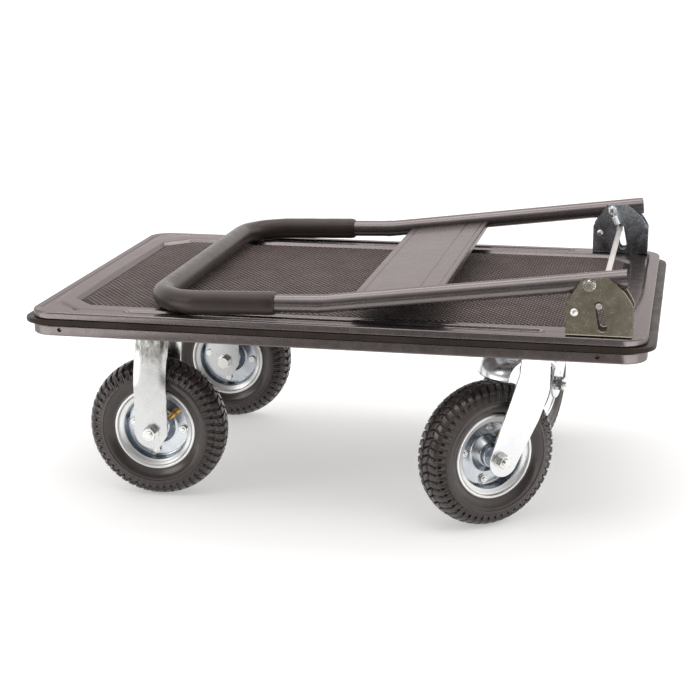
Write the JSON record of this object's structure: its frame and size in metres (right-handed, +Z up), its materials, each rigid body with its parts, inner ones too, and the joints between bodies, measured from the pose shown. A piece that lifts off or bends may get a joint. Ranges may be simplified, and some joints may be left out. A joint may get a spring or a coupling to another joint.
{
  "type": "folding platform cart",
  "caption": "Flat-deck push cart with a fold-down U handle, fixed and swivel pneumatic casters, a rubber mat and an edge bumper.",
  "frame": {"origin": "middle of the whole cart's box, on the floor", "axes": "+X along the deck towards the hinge brackets and swivel casters, +Y across the deck towards the far side, +Z up"},
  "size_m": [0.934, 0.631, 0.4019],
  "materials": {
    "paint": "satin grey paint with a metallic flake",
    "mat": "matt ribbed non-slip rubber",
    "bumper": "satin extruded rubber",
    "grip": "soft satin foam rubber",
    "zinc": "bright zinc plate",
    "tyre": "matt moulded rubber with a block tread",
    "tube_rubber": "smooth butyl rubber",
    "brass": "plain turned brass"
  },
  "bodies": {
    "deck": {"deck_mat": "mat", "deck_pan": "paint", "edge_bumper": "bumper", "far_fixed_axle_bolt": "zinc", "far_fixed_axle_nut": "zinc", "far_fixed_fork": "zinc", "far_hinge_bracket": "zinc", "far_lock_spring": "zinc", "far_pivot_bolt": "zinc", "far_pivot_nut": "zinc", "far_stop_rivet": "zinc", "far_swivel_kingpin": "zinc", "far_swivel_top_plate": "zinc", "fixed_end_channel": "paint", "near_fixed_axle_bolt": "zinc", "near_fixed_axle_nut": "zinc", "near_fixed_fork": "zinc", "near_hinge_bracket": "zinc", "near_lock_spring": "zinc", "near_pivot_bolt": "zinc", "near_pivot_nut": "zinc", "near_stop_rivet": "zinc", "near_swivel_kingpin": "zinc", "near_swivel_top_plate": "zinc", "swivel_end_channel": "paint"},
    "handle": {"handle_tube": "paint", "handle_grip": "grip", "handle_panel": "paint"},
    "lock_rod": {"lock_rod": "zinc"},
    "near_swivel": {"near_swivel_fork": "zinc", "near_swivel_axle_bolt": "zinc", "near_swivel_axle_nut": "zinc"},
    "near_swivel_wheel": {"near_swivel_tyre": "tyre", "near_swivel_inner_tube": "tube_rubber", "near_swivel_outer_rim": "zinc", "near_swivel_inner_rim": "zinc", "near_swivel_hub": "zinc", "near_swivel_valve": "brass"},
    "near_fixed_wheel": {"near_fixed_tyre": "tyre", "near_fixed_inner_tube": "tube_rubber", "near_fixed_outer_rim": "zinc", "near_fixed_inner_rim": "zinc", "near_fixed_hub": "zinc", "near_fixed_valve": "brass"},
    "far_swivel": {"far_swivel_fork": "zinc", "far_swivel_axle_bolt": "zinc", "far_swivel_axle_nut": "zinc"},
    "far_swivel_wheel": {"far_swivel_tyre": "tyre", "far_swivel_inner_tube": "tube_rubber", "far_swivel_outer_rim": "zinc", "far_swivel_inner_rim": "zinc", "far_swivel_hub": "zinc", "far_swivel_valve": "brass"},
    "far_fixed_wheel": {"far_fixed_tyre": "tyre", "far_fixed_inner_tube": "tube_rubber", "far_fixed_outer_rim": "zinc", "far_fixed_inner_rim": "zinc", "far_fixed_hub": "zinc", "far_fixed_valve": "brass"}
  },
  "joints": [
    {"name": "handle_fold", "type": "hinge", "parent": "deck", "child": "handle", "pos_m": [0.3725, 0.00666, 0.3825], "axis": [0, 1, 0], "range_deg": [0, 101]},
    {"name": "lock_slide", "type": "slide", "parent": "deck", "child": "lock_rod", "axis": [0.1942, 0, -0.981], "range_m": [0, 0.0333], "deforming": ["near_lock_spring", "far_lock_spring"]},
    {"name": "near_swivel_turn", "type": "hinge", "parent": "deck", "child": "near_swivel", "pos_m": [0.269, -0.19734, 0.27], "axis": [0, 0, 1], "continuous": true},
    {"name": "far_swivel_turn", "type": "hinge", "parent": "deck", "child": "far_swivel", "pos_m": [0.269, 0.21066, 0.27], "axis": [0, 0, 1], "continuous": true},
    {"name": "near_fixed_wheel_spin", "type": "hinge", "parent": "deck", "child": "near_fixed_wheel", "pos_m": [-0.2877, -0.19734, 0.109], "axis": [0, 1, 0], "continuous": true},
    {"name": "near_swivel_wheel_spin", "type": "hinge", "parent": "near_swivel", "child": "near_swivel_wheel", "pos_m": [0.22644, -0.23217, 0.109], "axis": [-0.6334, 0.7738, 0], "continuous": true},
    {"name": "far_fixed_wheel_spin", "type": "hinge", "parent": "deck", "child": "far_fixed_wheel", "pos_m": [-0.2877, 0.21066, 0.109], "axis": [0, -1, 0], "continuous": true},
    {"name": "far_swivel_wheel_spin", "type": "hinge", "parent": "far_swivel", "child": "far_swivel_wheel", "pos_m": [0.25569, 0.1573, 0.109], "axis": [-0.9703, 0.2419, 0], "continuous": true}
  ],
  "couplings": [
    {"joint": "lock_slide", "follows": "handle_fold", "m_per_rad": 0.01872}
  ]
}
